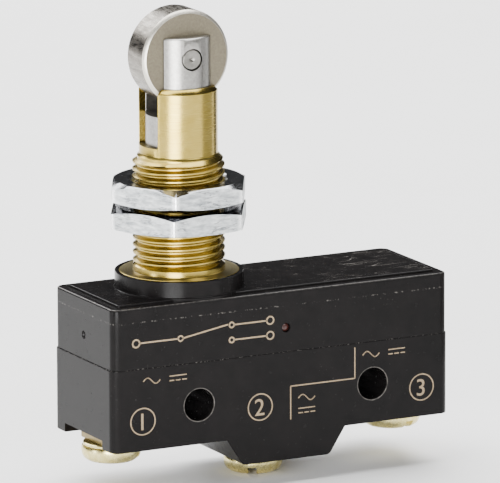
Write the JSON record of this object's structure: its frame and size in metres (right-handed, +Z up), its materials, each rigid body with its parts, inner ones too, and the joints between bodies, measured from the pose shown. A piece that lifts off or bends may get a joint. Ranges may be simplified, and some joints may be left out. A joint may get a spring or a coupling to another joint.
{
  "type": "limit switch",
  "caption": "Snap-action limit switch in a black case, with a roller plunger in a threaded panel bushing, hexagon nuts, cross mounting holes and screw terminals underneath.",
  "frame": {"origin": "on the bushing's axis, at the top of the collar and flange that seat against a panel", "axes": "+X along the case towards its long end, +Y to the back, +Z up the bushing towards the roller"},
  "size_m": [0.0492, 0.0174, 0.0626],
  "materials": {
    "phenolic": "black moulded phenolic, satin to glossy",
    "brass": "turned brass, bright",
    "terminal_brass": "plated sheet brass",
    "screw_brass": "pale plated brass",
    "zinc_plate": "zinc-plated, rough",
    "steel": "bright turned steel",
    "roller_steel": "matt face, polished tread",
    "spring_steel": "drawn spring steel",
    "spring_copper": "beryllium copper strip",
    "silver": "silver contact",
    "button_resin": "moulded resin"
  },
  "bodies": {
    "case": {"lower_case": "phenolic", "upper_cover": "phenolic", "threaded_bushing": "brass", "common_anchor": "brass", "anchor_rivet": "brass", "common_terminal": "terminal_brass", "normally_open_terminal": "terminal_brass", "normally_closed_terminal": "terminal_brass", "normally_open_contact": "silver", "normally_closed_contact": "silver"},
    "plunger": {"roller_plunger": "steel", "roller_pin": "steel", "rod_retainer": "spring_steel", "overtravel_spring": "spring_steel"},
    "roller": {"roller": "roller_steel"},
    "button": {"pushbutton": "button_resin", "push_rod": "spring_steel"},
    "blade": {"snap_spring": "spring_copper", "moving_contact": "silver"},
    "lower_nut": {"lower_nut": "zinc_plate"},
    "upper_nut": {"upper_nut": "zinc_plate"},
    "common_screw": {"common_screw": "screw_brass", "common_washer": "screw_brass"},
    "normally_open_screw": {"normally_open_screw": "screw_brass", "normally_open_washer": "screw_brass"},
    "normally_closed_screw": {"normally_closed_screw": "screw_brass", "normally_closed_washer": "screw_brass"}
  },
  "joints": [
    {"name": "plunger_slide", "type": "slide", "parent": "case", "child": "plunger", "axis": [0, 0, -1], "range_m": [0, 0.004], "stiffness_N_per_m": 700, "springref_m": -0.004, "deforming": ["overtravel_spring"]},
    {"name": "roller_spin", "type": "hinge", "parent": "plunger", "child": "roller", "pos_m": [0, 0, 0.02828], "axis": [0, 1, 0], "continuous": true},
    {"name": "button_slide", "type": "slide", "parent": "case", "child": "button", "axis": [0, 0, -1], "range_m": [0, 0.0002]},
    {"name": "blade_swing", "type": "hinge", "parent": "case", "child": "blade", "pos_m": [-0.0113, 0, -0.00995], "axis": [0, 1, 0], "range_deg": [0, 0.94]},
    {"name": "lower_nut_travel", "type": "slide", "parent": "case", "child": "lower_nut", "axis": [0, 0, 1], "range_m": [-0.0055, 0]},
    {"name": "upper_nut_travel", "type": "slide", "parent": "case", "child": "upper_nut", "axis": [0, 0, 1], "range_m": [0, 0.003]},
    {"name": "common_screw_travel", "type": "slide", "parent": "case", "child": "common_screw", "axis": [0, 0, -1], "range_m": [0, 0.0025]},
    {"name": "normally_open_screw_travel", "type": "slide", "parent": "case", "child": "normally_open_screw", "axis": [0, 0, -1], "range_m": [0, 0.0025]},
    {"name": "normally_closed_screw_travel", "type": "slide", "parent": "case", "child": "normally_closed_screw", "axis": [0, 0, -1], "range_m": [0, 0.0025]}
  ],
  "couplings": [
    {"joint": "button_slide", "follows": "plunger_slide", "ratio": 0.05},
    {"joint": "blade_swing", "follows": "plunger_slide", "rad_per_m": 4.1}
  ]
}
